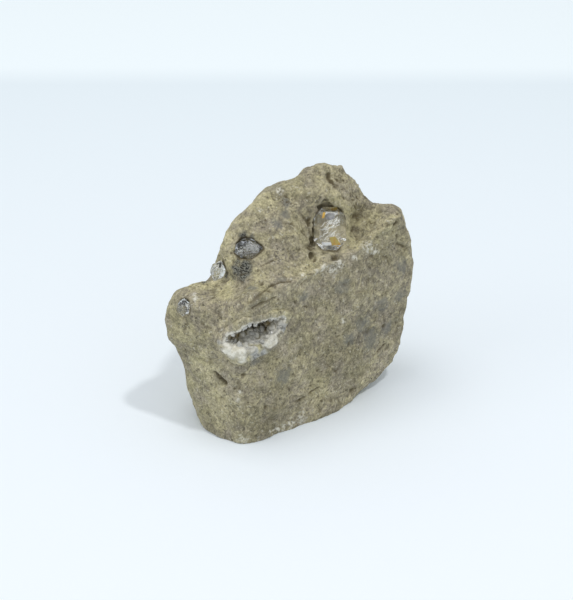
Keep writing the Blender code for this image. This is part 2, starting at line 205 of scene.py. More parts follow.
# Ground stained a warm olive: centre and radius of each, in millimetres.
OLIVE_GROUND = (
    ((-24.0, -28.8, 14.0), 9.0),
    ((-28.0, -26.0, 30.0), 6.0),
    ((24.0, 6.0, 63.0), 7.0),
    ((16.0, 9.8, 76.5), 3.4),
    ((34.0, 8.8, 65.0), 5.0),
    ((8.0, -8.0, 60.0), 3.0),
    ((21.0, 9.0, 69.0), 7.0),
    ((29.0, 8.0, 64.0), 6.0),
    ((-24.0, -18.0, 55.0), 6.0),
    ((10.0, -15.0, 10.0), 6.0),
)

# Ground riddled with fine dark pores: size and depth of a pore, how far apart stray groups of
# them lie, and centre and radius of each riddled patch, in millimetres.
POCK_LENGTH = 1.5
POCK_DEPTH = 0.5
STRAY_LENGTH = 7.0
PORED_GROUND = (
    ((-1.4, 4.6, 77.6), 3.6),
    ((23.5, 16.0, 74.5), 4.6),
    ((26.0, 13.0, 69.5), 2.8),
    ((28.5, 10.4, 65.6), 2.4),
    ((14.6, 13.8, 81.8), 3.4),
    ((18.0, 16.0, 80.0), 4.0),
    ((37.4, 10.4, 66.2), 1.8),
    ((7.2, -1.6, 62.8), 2.8),
    ((-30.0, -12.0, 53.6), 3.0),
    ((-5.0, -23.0, 42.0), 2.4),
    ((-14.0, 32.0, 56.0), 8.0),
    ((12.0, 33.0, 40.0), 7.0),
    ((26.0, 24.0, 56.0), 6.0),
)

# Spots peppered with black grains: centre and radius of each, in millimetres.
PEPPERED = (
    ((-17.2, -13.2, 61.4), 4.4),
    ((-16.6, -14.0, 59.4), 4.0),
    ((-18.6, -13.2, 60.4), 3.8),
    ((-17.0, -7.0, 70.6), 2.1),
    ((-14.0, -7.2, 70.6), 1.5),
    ((-23.4, -7.8, 55.6), 1.8),
    ((-31.0, -10.4, 53.8), 1.4),
)


def noise_at(points, length, seed):
    """Smooth noise from -1 to 1 at each point, with this wavelength in millimetres."""
    shift = Vector((seed * 3.7, seed * 1.9, seed * 7.3))
    scale = 1.0 / (length * MM)
    return np.array([noise.noise(Vector(point) * scale + shift) for point in points])


def scramble(cells, seed):
    """Three even random numbers from 0 to 1 for each whole-numbered cell."""
    mixed = cells @ np.array([[127.1, 269.5, 419.2], [311.7, 183.3, 371.9], [74.7, 246.1, 124.6]])
    wild = np.sin(mixed + seed * 12.9898) * 43758.5453
    return wild - np.floor(wild)


def cells_at(points, size, seed):
    """The nearest two of the scattered centres at each point: way to the nearest, the
    distances to both, and three random numbers that belong to the nearest. In millimetres."""
    scaled = points / (size * MM)
    base = np.floor(scaled)
    first = np.full(len(points), np.inf)
    second = np.full(len(points), np.inf)
    way = np.zeros((len(points), 3))
    marks = np.zeros((len(points), 3))
    steps = (-1, 0, 1)
    for offset in ((x, y, z) for x in steps for y in steps for z in steps):
        cell = base + np.array(offset)
        centre = cell + scramble(cell, seed)
        leg = scaled - centre
        distance = np.linalg.norm(leg, axis=1)
        closer = distance < first
        second = np.where(closer, first, np.minimum(second, distance))
        first = np.where(closer, distance, first)
        way[closer] = leg[closer]
        marks[closer] = scramble(cell + 0.5, seed + 1)[closer]
    return way * size, first * size, second * size, marks


def chips_at(points, outward, size, lean, step, seed):
    """How far flat chips of this size rise at each point, in millimetres."""
    way, near, far, marks = cells_at(points, size, seed)
    slopes = (marks - 0.5) * 2.0
    slopes -= outward * (slopes * outward).sum(axis=1)[:, None]
    rise = lean * (way * slopes).sum(axis=1) + step * (marks.sum(axis=1) - 1.5)
    middle = np.clip((far - near) / (0.16 * size), 0.0, 1.0)
    return rise * (0.35 + 0.65 * middle)


def corners_of(mesh):
    corners = np.empty(len(mesh.vertices) * 3, np.float32)
    mesh.vertices.foreach_get("co", corners)
    return corners.reshape(-1, 3).astype(np.float64)


def normals_of(mesh):
    normals = np.empty(len(mesh.vertices) * 3, np.float32)
    mesh.vertex_normals.foreach_get("vector", normals)
    return normals.reshape(-1, 3).astype(np.float64)


def set_corners(mesh, corners):
    mesh.vertices.foreach_set("co", corners.astype(np.float32).ravel())
    mesh.update()


def set_mask(mesh, name, values):
    """Keeps a number from 0 to 1 for each point of the mesh, for its material to read."""
    attribute = mesh.attributes.new(name, "FLOAT", "POINT")
    attribute.data.foreach_set("value", np.clip(values, 0.0, 1.0).astype(np.float32))


def close_skin(source, name, grid, smoothing):
    """A copy of a solid as an even net of small faces, softened by rounds of smoothing."""
    obj = bpy.data.objects.new(name, source.data.copy())
    scene.collection.objects.link(obj)
    skin = obj.modifiers.new("skin", "REMESH")
    skin.mode = "VOXEL"
    skin.voxel_size = grid
    soften = obj.modifiers.new("soften", "SMOOTH")
    soften.factor = 0.5
    soften.iterations = smoothing
    graph = bpy.context.evaluated_depsgraph_get()
    mesh = bpy.data.meshes.new_from_object(obj.evaluated_get(graph))
    obj.modifiers.clear()
    obj.data = mesh
    mesh.materials.clear()
    mesh.shade_smooth()
    return obj


def evened(mesh, values, rounds):
    """Values at the mesh's points, each averaged with its neighbours' for some rounds."""
    ends = np.empty(len(mesh.edges) * 2, np.int32)
    mesh.edges.foreach_get("vertices", ends)
    a, b = ends.reshape(-1, 2).T
    count = np.bincount(a, minlength=len(values)) + np.bincount(b, minlength=len(values))
    flat = values.reshape(len(values), -1)
    for _ in range(rounds):
        total = np.zeros_like(flat)
        for k in range(flat.shape[1]):
            total[:, k] += np.bincount(a, flat[b, k], len(flat))
            total[:, k] += np.bincount(b, flat[a, k], len(flat))
        flat = 0.5 * flat + 0.5 * total / count[:, None]
    return flat.reshape(values.shape)


def distance_to_line(points, line):
    """The distance from each point to a line of straight runs."""
    nearest = np.full(len(points), np.inf)
    for start, end in zip(line, line[1:]):
        a = np.array(start) * MM
        run = np.array(end) * MM - a
        share = np.clip((points - a) @ run / (run @ run), 0.0, 1.0)
        away = np.linalg.norm(points - a - share[:, None] * run, axis=1)
        nearest = np.minimum(nearest, away)
    return nearest


def bump_of(distance, radius):
    """1 at no distance, falling smoothly to 0 at the radius."""
    share = np.clip(1.0 - distance / radius, 0.0, 1.0)
    return share * share * (3.0 - 2.0 * share)


def near_spots(points, spots, spread):
    """1 inside any of the spots, falling to 0 over the spread beyond their edges."""
    mask = np.zeros(len(points))
    for centre, radius in spots:
        away = np.linalg.norm(points - np.array(centre) * MM, axis=1) / MM
        mask = np.maximum(mask, np.clip((radius + spread - away) / spread, 0.0, 1.0))
    return mask


def ragged_patches(points, patches, ragged):
    """1 inside any of the patches, whose edges wander with the ragged values."""
    mask = np.zeros(len(points))
    for centre, radius in patches:
        away = np.linalg.norm(points - np.array(centre) * MM, axis=1)
        mask = np.maximum(mask, np.clip(1.6 * (ragged - away / (radius * MM)), 0.0, 1.0))
    return mask


def distance_to_surface(points, objects, reach):
    """The distance from each point to the nearest of the objects, up to a reach."""
    nearest = np.full(len(points), reach)
    for obj in objects:
        bm = bmesh.new()
        bm.from_mesh(obj.data)
        tree = BVHTree.FromBMesh(bm)
        bm.free()
        for k, point in enumerate(points):
            found = tree.find_nearest(Vector(point), reach)
            if found[3] is not None:
                nearest[k] = min(nearest[k], found[3])
    return nearest


# Wavelength and strength of the waves that make every patch ragged, in millimetres.
RAGGED_WAVES = ((2.2, 0.6), (0.9, 0.5))
# The skin keeps this clear of the crystals and stays flat this high over the rest face. The gap
# round a crystal gets painted shade, and its socket painted light, within these widths. All in
# millimetres.
CRYSTAL_CLEARANCE = 0.3
CRYSTAL_REACH = 2.5
REST_HEIGHT = 0.35
SOCKET_REACH = 12.0
SOCKET_WIDTH = 0.5
GAP_WIDTH = 0.52
# The way the front right face, the upper face and the sockets' mouths look out.
FRONT_RIGHT = (0.592, -0.806, 0.0)
UPPER_OUT = (0.05, -0.40, 0.915)
MOUTH_OUT = (-0.10, -0.72, 0.685)
CRYSTAL_NODES = ("main_crystal", "second_crystal", "ledge_crystal", "lobe_crystal")
crystals = [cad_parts[name] for name in CRYSTAL_NODES]
rock = close_skin(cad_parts["matrix"], "rock", ROCK_GRID, ROCK_SMOOTHING)
points = corners_of(rock.data)
outward = normals_of(rock.data)
to_crystal = distance_to_surface(points, crystals, CRYSTAL_REACH * MM)
warp = np.stack([noise_at(points, CHIP_WANDER_LENGTH, 31 + k) for k in range(3)], axis=1)
warp = warp * CHIP_WANDER * MM
rugged = near_spots(points, RUGGED, RUGGED_FADE)
# How squarely the skin faces front right, for that face's grey-brown tone and painted shade.
front_right_tone_and_shade = evened(rock.data, np.clip(outward @ np.array(FRONT_RIGHT) * 2.4 - 1.2, 0.0, 1.0), 4)
rise = np.zeros(len(points))
for seed, (size, lean, step) in enumerate(CHIPS):
    chips = chips_at(points + warp, outward, size, lean, step, seed)
    rise += chips * MM * (CALM_CHIPS + RUGGED_GAIN * rugged)
for seed, (length, height) in enumerate(GRAIN):
    rise += height * MM * noise_at(points, length, seed) * (CALM_GRAIN + RUGGED_GAIN * rugged)
wander = noise_at(points, 2.0, 15)
eased = evened(rock.data, outward, 8)
across = np.array(UPPER_OUT) - np.array(FRONT_RIGHT) * np.dot(UPPER_OUT, FRONT_RIGHT)
across /= np.linalg.norm(across)
half_turn = 0.5 * math.acos(np.dot(UPPER_OUT, FRONT_RIGHT))
turned = np.abs(np.arctan2(eased @ across, eased @ np.array(FRONT_RIGHT)) - half_turn)
from_arris = distance_to_line(points, ARRIS) / (ARRIS_REACH * MM)
corner = 1.0 / np.cos(np.clip(half_turn - turned, 0.0, 1.0)) - 1.0
near_arris = np.clip(2.0 - 2.0 * from_arris, 0.0, 1.0)
rise += ARRIS_RADIUS * MM * corner * near_arris * (0.9 + 0.6 * wander)
ragged = np.ones(len(points))
for seed, (length, strength) in enumerate(RAGGED_WAVES, 21):
    ragged += strength * noise_at(points, length, seed)
pored = ragged_patches(points, PORED_GROUND, ragged)
pocks = noise_at(points, POCK_LENGTH, 12)
stray = np.clip(noise_at(points, STRAY_LENGTH, 11) - 0.25, 0.0, 1.0)
pocked = np.clip((pocks - 0.30) / 0.25, 0.0, 1.0) * np.clip(0.6 * pored + stray, 0.0, 1.0)
rise -= POCK_DEPTH * MM * pocked
hollow_shade = 0.75 * pocked
for centre, radius, depth in PORES:
    dip = bump_of(np.linalg.norm(points - np.array(centre) * MM, axis=1), radius * 1.6 * MM)
    rise -= depth * MM * dip
    hollow_shade = np.maximum(hollow_shade, dip)
for line, half_width, depth in CRACKS:
    dip = bump_of(distance_to_line(points, line) + 0.3 * MM * wander, half_width * 1.7 * MM)
    rise -= depth * MM * dip
    hollow_shade = np.maximum(hollow_shade, 0.8 * dip)
cream = ragged_patches(points, CREAM_PATCHES, ragged)
rise += CREAM_RISE * MM * cream
rise *= np.clip(to_crystal / MM - CRYSTAL_CLEARANCE, 0.0, 1.0)
rise[points[:, 2] < REST_HEIGHT * MM] = 0.0
points = points + outward * rise[:, None]
set_corners(rock.data, points)
outward = normals_of(rock.data)
standing = ((points - evened(rock.data, points, 12)) * outward).sum(axis=1) / MM
sunk = np.clip(-standing * 4.5 - 0.25, 0.0, 1.0)
raised = np.clip(standing * 3.0 - 0.25, 0.0, 1.0)
# Painted shade: darker brown in the hollows, pores, cracks and sunk parts of the skin.
set_mask(rock.data, "hollow_shade", np.maximum(hollow_shade, sunk))
# Dust with a painted highlight on the raised edges, with less of it near the arris.
set_mask(rock.data, "edge_dust_and_highlight", raised * np.clip(from_arris * 1.5, 0.2, 1.0))
set_mask(rock.data, "cream", cream)
set_mask(rock.data, "stain", ragged_patches(points, GREY_STAINS, 0.8 * ragged + 0.2))
set_mask(rock.data, "warm", ragged_patches(points, OLIVE_GROUND, 0.5 * ragged + 0.6))
set_mask(rock.data, "pored", pored)
set_mask(rock.data, "pepper", ragged_patches(points, PEPPERED, 0.6 * ragged + 0.45))
set_mask(rock.data, "front_right_tone_and_shade", front_right_tone_and_shade)
# How far each point lies toward the mouth of the nearest socket: 1 at the crystal's outer side.
height = np.full(len(points), -1.0)
for crystal in crystals:
    tips = corners_of(crystal.data)
    middle = tips.mean(axis=0)
    half = ((tips - middle) @ np.array(MOUTH_OUT)).max()
    near = np.linalg.norm(points - middle, axis=1) < SOCKET_REACH * MM
    level = (points - middle) @ np.array(MOUTH_OUT) / half
    height[near] = np.maximum(height[near], level[near])
mouth = np.clip((height + 0.50) / 0.25, 0.0, 1.0)
lit_socket = np.clip(1.7 - to_crystal / (SOCKET_WIDTH * MM), 0.0, 1.0)
gap_shade_share = np.clip(2.1 - to_crystal / (GAP_WIDTH * MM), 0.0, 1.0)
# Painted light in the deep socket behind each crystal, and painted shade in the gap at its mouth.
set_mask(rock.data, "socket", lit_socket * (1.0 - mouth))
set_mask(rock.data, "gap_shade", gap_shade_share * mouth)

OLIVE = (0.388, 0.352, 0.208, 1.0)
GREY_BROWN = (0.272, 0.241, 0.178, 1.0)
STRAW = (0.45, 0.405, 0.255, 1.0)
WARM_OLIVE = (0.43, 0.39, 0.22, 1.0)
# The grey-brown tone of the front right face, which also holds painted shade.
FRONT_BROWN_AND_SHADE = (0.268, 0.238, 0.148, 1.0)
# Pale dust with a painted highlight, for the raised edges.
DUST_AND_HIGHLIGHT = (0.47, 0.43, 0.31, 1.0)
STAIN = (0.165, 0.170, 0.158, 1.0)
CREAM = (0.74, 0.72, 0.62, 1.0)
# Dark brown of pinholes and fine pores, and of the painted shade in hollows and round the crystals.
PORE_AND_SHADE_BROWN = (0.090, 0.070, 0.034, 1.0)
PALE_GRAIN = (0.56, 0.53, 0.42, 1.0)
DARK_GRAIN = (0.085, 0.076, 0.055, 1.0)
PEPPER_BLACK = (0.025, 0.025, 0.023, 1.0)
PEPPER_GROUND = (0.20, 0.20, 0.165, 1.0)
# Painted light: a paler tone for the sockets behind the crystals.
SOCKET_PAINTED_LIGHT = (0.36, 0.32, 0.225, 1.0)
HAIRLINE = (0.52, 0.465, 0.285, 1.0)


def new_material(name):
    material = bpy.data.materials.new(name)
    material.use_nodes = True
    return material, material.node_tree, material.node_tree.nodes["Principled BSDF"]


def add_node(tree, kind, x, y, **settings):
    node = tree.nodes.new(kind)
    node.location = (x, y)
    for name, value in settings.items():
        setattr(node, name, value)
    return node


def feed(tree, socket, value):
    """Links a socket to another one, or gives it a plain value."""
    if isinstance(value, bpy.types.NodeSocket):
        tree.links.new(value, socket)
    else:
        socket.default_value = value


def mix_colors(tree, x, y, factor, first, second, blend="MIX"):
    """A colour mix. Each of the three is a socket, or a plain value."""
    node = add_node(tree, "ShaderNodeMix", x, y, data_type="RGBA", blend_type=blend)
    for number, value in ((0, factor), (6, first), (7, second)):
        feed(tree, node.inputs[number], value)
    return node.outputs[2]


def stepped(tree, x, y, value, low, high):
    """The value from low to high, made a mask from 0 to 1."""
    node = add_node(tree, "ShaderNodeMapRange", x, y, interpolation_type="SMOOTHSTEP")
    node.inputs["From Min"].default_value = low
    node.inputs["From Max"].default_value = high
    tree.links.new(value, node.inputs["Value"])
    return node.outputs["Result"]


def ranged(tree, x, y, value, low, high, to_low, to_high):
    """The value from low to high, made a number from one end of another range to the other."""
    node = add_node(tree, "ShaderNodeMapRange", x, y)
    ends = {"From Min": low, "From Max": high, "To Min": to_low, "To Max": to_high}
    for name, number in ends.items():
        node.inputs[name].default_value = number
    tree.links.new(value, node.inputs["Value"])
    return node.outputs["Result"]


def times(tree, x, y, value, factor):
    node = add_node(tree, "ShaderNodeMath", x, y, operation="MULTIPLY")
    feed(tree, node.inputs[0], value)
    feed(tree, node.inputs[1], factor)
    return node.outputs[0]


def noise_node(tree, x, y, place, scale, detail, roughness):
    node = add_node(tree, "ShaderNodeTexNoise", x, y)
    node.inputs["Scale"].default_value = scale
    node.inputs["Detail"].default_value = detail
    node.inputs["Roughness"].default_value = roughness
    tree.links.new(place, node.inputs["Vector"])
    return node.outputs["Fac"]


def noise_mask(tree, x, y, place, scale, detail, roughness, low, high):
    """A mask from a noise: 0 where it is at its low value, and 1 where it is at its high one."""
    fine = noise_node(tree, x - 250, y, place, scale, detail, roughness)
    return stepped(tree, x, y, fine, low, high)


def mask_node(tree, x, y, name, share=1.0):
    """The mesh's mask of this name, or a share of it."""
    mask = add_node(tree, "ShaderNodeAttribute", x, y, attribute_name=name).outputs["Fac"]
    return mask if share == 1.0 else times(tree, x + 200, y, mask, share)


def cover(tree, x, y, color, name, tone, share=1.0):
    """Lays a tone over a colour where the mesh's mask of this name says, or a share of it."""
    return mix_colors(tree, x, y, mask_node(tree, x - 400, y - 300, name, share), color, tone)


def place_node(tree):
    """The place of each point in the frame, in metres."""
    return add_node(tree, "ShaderNodeTexCoord", -1900, 0).outputs["Object"]


def add_bump(tree, shader, height, strength, distance):
    """Gives the surface a fine relief, up to a distance in millimetres."""
    bump = add_node(tree, "ShaderNodeBump", -300, -300)
    bump.inputs["Strength"].default_value = strength
    bump.inputs["Distance"].default_value = distance * MM
    tree.links.new(height, bump.inputs["Height"])
    tree.links.new(bump.outputs["Normal"], shader.inputs["Normal"])


def new_group(name, inputs, outputs):
    """A shader node group whose sockets are given as (name, kind, plain value)."""
    group = bpy.data.node_groups.new(name, "ShaderNodeTree")
    for in_out, sockets in (("INPUT", inputs), ("OUTPUT", outputs)):
        for label, kind, value in sockets:
            kind = "NodeSocket" + kind
            socket = group.interface.new_socket(label, in_out=in_out, socket_type=kind)
            if value is not None:
                socket.default_value = value
    entry = add_node(group, "NodeGroupInput", -2000, 0)
    return group, entry, add_node(group, "NodeGroupOutput", 600, 0)


def place_group(tree, group, x, y, **sockets):
    node = add_node(tree, "ShaderNodeGroup", x, y, node_tree=group)
    for name, value in sockets.items():
        feed(tree, node.inputs[name], value)
    return node


# The sugary grain: two tones in soft mottles with a net of straw veins, crossed by fine pale and
# dark grains, bent hairlines and pinholes. Scale, detail and roughness of each noise, and for a
# mask its low and high value:
MOTTLES = (105.0, 6.0, 0.66, 0.37, 0.63)
VEIN_NET = (520.0, 4.0, 0.65, 0.49, 0.62)
VEIN_CROWDS = (80.0, 4.0, 0.6)
PALE_GRAINS = (1000.0, 2.0, 0.6, 0.61, 0.70)
DARK_GRAINS = (850.0, 3.0, 0.6)
HAIR_BENDS = (260.0, 3.0, 0.6)
HAIR_BREAKS = (150.0, 2.0, 0.5, 0.50, 0.58)
# Bands of shade: the noise, the part of it that counts, and how far it dims and brightens.
SHADE_BANDS = (
    ((62.0, 5.0, 0.6), (0.30, 0.70), (0.70, 1.30)),
    ((430.0, 3.0, 0.6), (0.34, 0.66), (0.74, 1.26)),
    ((1300.0, 4.0, 0.72), (0.34, 0.66), (0.58, 1.42)),
)
HAIR_SCALE = 105.0
HAIR_BEND = 6.0 * MM
PINHOLE_SCALE = 250.0

sugar, sugar_in, sugar_out = new_group(
    "sugary_grain",
    (
        ("Vector", "Vector", None),
        ("Light", "Color", OLIVE),
        ("Dark", "Color", GREY_BROWN),
        ("Vein", "Color", STRAW),
    ),
    (("Color", "Color", None), ("Height", "Float", None)),
)
place = sugar_in.outputs["Vector"]
mottle = noise_mask(sugar, -1450, 400, place, *MOTTLES)
color = mix_colors(
    sugar, -1200, 300, mottle, sugar_in.outputs["Light"], sugar_in.outputs["Dark"]
)
net = noise_mask(sugar, -1450, 150, place, *VEIN_NET)
crowd = noise_node(sugar, -1700, 600, place, *VEIN_CROWDS)
veins = times(sugar, -1250, 100, net, ranged(sugar, -1450, 600, crowd, 0.40, 0.60, 0.15, 0.75))
color = mix_colors(sugar, -1000, 300, veins, color, sugar_in.outputs["Vein"])
for number, (waves, counted, shades) in enumerate(SHADE_BANDS):
    fine = noise_node(sugar, -1700, 20 - 60 * number, place, *waves)
    shade = ranged(sugar, -1450, 20 - 60 * number, fine, *counted, *shades)
    color = mix_colors(sugar, -900 + 50 * number, 300, 1.0, color, shade, "MULTIPLY")
pale = noise_mask(sugar, -1450, -350, place, *PALE_GRAINS)
color = mix_colors(sugar, -600, 300, times(sugar, -1200, -350, pale, 0.7), color, PALE_GRAIN)
dark_noise = noise_node(sugar, -1700, -600, place, *DARK_GRAINS)
dark = stepped(sugar, -1450, -600, dark_noise, 0.41, 0.31)
color = mix_colors(sugar, -400, 300, times(sugar, -1200, -600, dark, 0.8), color, DARK_GRAIN)
bent = add_node(sugar, "ShaderNodeVectorMath", -1900, -900, operation="MULTIPLY_ADD")
sugar.links.new(noise_node(sugar, -2100, -900, place, *HAIR_BENDS), bent.inputs[0])
bent.inputs[1].default_value = (HAIR_BEND, HAIR_BEND, HAIR_BEND)
sugar.links.new(place, bent.inputs[2])
cracked = add_node(sugar, "ShaderNodeTexVoronoi", -1700, -900, feature="DISTANCE_TO_EDGE")
cracked.inputs["Scale"].default_value = HAIR_SCALE
sugar.links.new(bent.outputs[0], cracked.inputs["Vector"])
hair = stepped(sugar, -1450, -900, cracked.outputs["Distance"], 0.030, 0.008)
broken = times(sugar, -1300, -1050, noise_mask(sugar, -1450, -1100, place, *HAIR_BREAKS), 0.6)
color = mix_colors(sugar, -250, 300, times(sugar, -1200, -900, hair, broken), color, HAIRLINE)
pits = add_node(sugar, "ShaderNodeTexVoronoi", -1700, -1300)
pits.inputs["Scale"].default_value = PINHOLE_SCALE
sugar.links.new(place, pits.inputs["Vector"])
lot = add_node(sugar, "ShaderNodeSeparateColor", -1500, -1400)
sugar.links.new(pits.outputs["Color"], lot.inputs[0])
chosen = stepped(sugar, -1300, -1400, lot.outputs[0], 0.62, 0.66)
pinhole = stepped(sugar, -1300, -1250, pits.outputs["Distance"], 0.15, 0.08)
pinholes = times(sugar, -950, -1300, times(sugar, -1100, -1300, pinhole, chosen), 0.75)
color = mix_colors(sugar, -150, 300, pinholes, color, PORE_AND_SHADE_BROWN)
sugar.links.new(color, sugar_out.inputs["Color"])
height = mix_colors(sugar, -400, -200, 0.35, fine, dark_noise)
sugar.links.new(height, sugar_out.inputs["Height"])

# The noises that break up the cream, the pores and the pepper, as above.
CREAM_BLOTCHES = (900.0, 4.0, 0.72, 0.44, 0.57)
FINE_PORES = (760.0, 3.0, 0.6, 0.50, 0.40)
PEPPER_GRAINS = (2100.0, 2.0, 0.5, 0.53, 0.47)

stone, tree, shader = new_material("dolostone")
place = place_node(tree)
warm = mask_node(tree, -1700, 500, "warm", 0.85)
# The front right face: its grey-brown tone and painted shade.
light = cover(tree, -1450, 650, OLIVE, "front_right_tone_and_shade", FRONT_BROWN_AND_SHADE, 0.75)
light = mix_colors(tree, -1400, 400, warm, light, WARM_OLIVE)
ground = mix_colors(tree, -1400, 200, times(tree, -1500, 150, warm, 0.6), GREY_BROWN, OLIVE)
grain = place_group(tree, sugar, -1200, 300, Vector=place, Light=light, Dark=ground)
color = cover(tree, -850, 300, grain.outputs["Color"], "stain", STAIN, 0.55)
# Dust and a painted highlight on the raised edges.
color = cover(tree, -700, 300, color, "edge_dust_and_highlight", DUST_AND_HIGHLIGHT, 0.5)
blotches = noise_mask(tree, -900, -250, place, *CREAM_BLOTCHES)
cream = times(tree, -700, -250, mask_node(tree, -900, -450, "cream", 0.85), blotches)
color = mix_colors(tree, -550, 300, cream, color, CREAM)
holes = noise_mask(tree, -900, -650, place, *FINE_PORES)
riddled = times(tree, -700, -650, mask_node(tree, -900, -850, "pored", 0.85), holes)
color = mix_colors(tree, -400, 300, riddled, color, PORE_AND_SHADE_BROWN)
black = noise_mask(tree, -500, -500, place, *PEPPER_GRAINS)
pepper = mix_colors(tree, -300, -500, black, PEPPER_GROUND, PEPPER_BLACK)
color = cover(tree, -250, 300, color, "pepper", pepper)
# Painted shade in the hollows.
color = cover(tree, -100, 300, color, "hollow_shade", PORE_AND_SHADE_BROWN, 0.85)
# Painted light in the sockets behind the crystals.
color = cover(tree, 50, 300, color, "socket", SOCKET_PAINTED_LIGHT)
# Painted shade in the gap round each crystal.
color = cover(tree, 200, 300, color, "gap_shade", PORE_AND_SHADE_BROWN, 0.9)
tree.links.new(color, shader.inputs["Base Color"])
shader.inputs["Roughness"].default_value = 0.86
shader.inputs["Specular IOR Level"].default_value = 0.35
add_bump(tree, shader, grain.outputs["Height"], 0.9, 0.35)
rock.data.materials.append(stone)
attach(rock, "root")
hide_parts("matrix")

# The four clear crystals.
# Water-clear quartz, each a six-sided prism with a pyramid at both ends, grown in the rock. They
# keep their own shapes, with bright natural faces, fine growth lines and a little milkiness.

WATER_CLEAR = (0.955, 0.965, 0.93, 1.0)
SMOKY_CLEAR = (0.85, 0.87, 0.88, 1.0)
QUARTZ_IOR = 1.544
# The share of a lamp's light that a crystal keeps from the rock behind it.
SHADOW_LEFT = 0.12
GROWTH_LINES = (420.0, 3.0, 0.6)

clear, tree, shader = new_material("clear_quartz")
shader.inputs["Base Color"].default_value = WATER_CLEAR
shader.inputs["Roughness"].default_value = 0.03
shader.inputs["IOR"].default_value = QUARTZ_IOR
shader.inputs["Transmission Weight"].default_value = 1.0
ray = add_node(tree, "ShaderNodeLightPath", -700, 300)
lit_through = ranged(tree, -500, 300, ray.outputs["Is Shadow Ray"], 0.0, 1.0, 1.0, SHADOW_LEFT)
tree.links.new(lit_through, shader.inputs["Alpha"])
place = place_node(tree)
drawn_out = add_node(tree, "ShaderNodeMapping", -900, 0)
drawn_out.inputs["Rotation"].default_value = (0.3, 0.8, 0.2)
drawn_out.inputs["Scale"].default_value = (3.0, 0.7, 1.0)
tree.links.new(place, drawn_out.inputs["Vector"])
lines = noise_node(tree, -700, 0, drawn_out.outputs["Vector"], *GROWTH_LINES)
add_bump(tree, shader, lines, 0.30, 0.25)
smoky = clear.copy()
smoky.name = "smoky_quartz"
smoky.node_tree.nodes["Principled BSDF"].inputs["Base Color"].default_value = SMOKY_CLEAR
for node, material in zip(crystals, (clear, smoky, clear, clear)):
    node.data.materials.clear()
    node.data.materials.append(material)

# What is held inside the crystals.
# Flakes of orange iron stain, a thin dark plate that paints a dark reflection, and white healed
# cracks in the main crystal, and black carbon specks and milky veils in the others. Each is a thin
# solid or grain under the clear faces.

# The main crystal's front face and its lower pyramid face: the middle of each in millimetres, the
# way it looks out, and the ways right and up along it.
FACE_MIDDLE = Vector((14.4, 2.6, 70.3))
FACE_OUT = Vector((-0.04, -0.67, 0.74)).normalized()
FACE_RIGHT = Vector((1.0, 0.0, 0.0))
FACE_UP = FACE_OUT.cross(FACE_RIGHT).normalized()
TIP_MIDDLE = Vector((15.1, -0.9, 64.9))
TIP_OUT = Vector((-0.03, -0.98, 0.17)).normalized()
TIP_UP = TIP_OUT.cross(FACE_RIGHT).normalized()


def on_plane(middle, out, up, right_mm, up_mm, depth):
    """A point under a crystal's face: right and up along it from its middle, at a depth."""
    return (middle + FACE_RIGHT * right_mm + up * up_mm - out * depth) * MM


def add_flake(bm, corners, out, thickness):
    """A thin flat plate with these corners."""
    lift = out * (thickness * MM)
    top = [bm.verts.new(corner) for corner in corners]
    low = [bm.verts.new(corner - lift) for corner in corners]
    bm.faces.new(top)
    bm.faces.new(low[::-1])
    for k in range(len(top)):
        bm.faces.new((top[k], low[k], low[k - 1], top[k - 1]))


def add_ribbon(bm, path, across, width):
    """A thin flat ribbon along a path, tapered to both ends, its width lying across."""
    half_thickness = 0.02 * MM
    rings = []
    for k, point in enumerate(path):
        ahead = (path[min(k + 1, len(path) - 1)] - path[max(k - 1, 0)]).normalized()
        flat = (across - ahead * across.dot(ahead)).normalized()
        thick = ahead.cross(flat) * half_thickness
        wide = 0.5 * width * MM * (0.15 + 0.85 * math.sin(math.pi * k / (len(path) - 1)))
        corners = (flat * wide, thick, -flat * wide, -thick)
        rings.append([bm.verts.new(point + corner) for corner in corners])
    for near, far in zip(rings, rings[1:]):
        for n in range(4):
            bm.faces.new((near[n - 1], near[n], far[n], far[n - 1]))
    bm.faces.new(rings[0][::-1])
    bm.faces.new(rings[-1])


def add_speck(bm, middle, size, dice):
    """A small uneven grain."""
    made = bmesh.ops.create_icosphere(bm, subdivisions=1, radius=size * MM)
    stretch = Vector((dice.uniform(0.5, 1.5), dice.uniform(0.5, 1.5), dice.uniform(0.5, 1.5)))
    for vert in made["verts"]:
        vert.co = Vector(a * b for a, b in zip(vert.co, stretch)) * dice.uniform(0.8, 1.2) + middle


def finish_piece(bm, name, material):
    bmesh.ops.recalc_face_normals(bm, faces=bm.faces)
    mesh = bpy.data.meshes.new(name)
    bm.to_mesh(mesh)
    bm.free()
    mesh.materials.append(material)
    piece = bpy.data.objects.new(name, mesh)
    scene.collection.objects.link(piece)
    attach(piece, "root")
    return piece


def inside(node, point, margin):
    """Whether a point is this deep inside a crystal, whose faces all bulge outward."""
    return all((point - face.center).dot(face.normal) < -margin * MM for face in node.data.polygons)


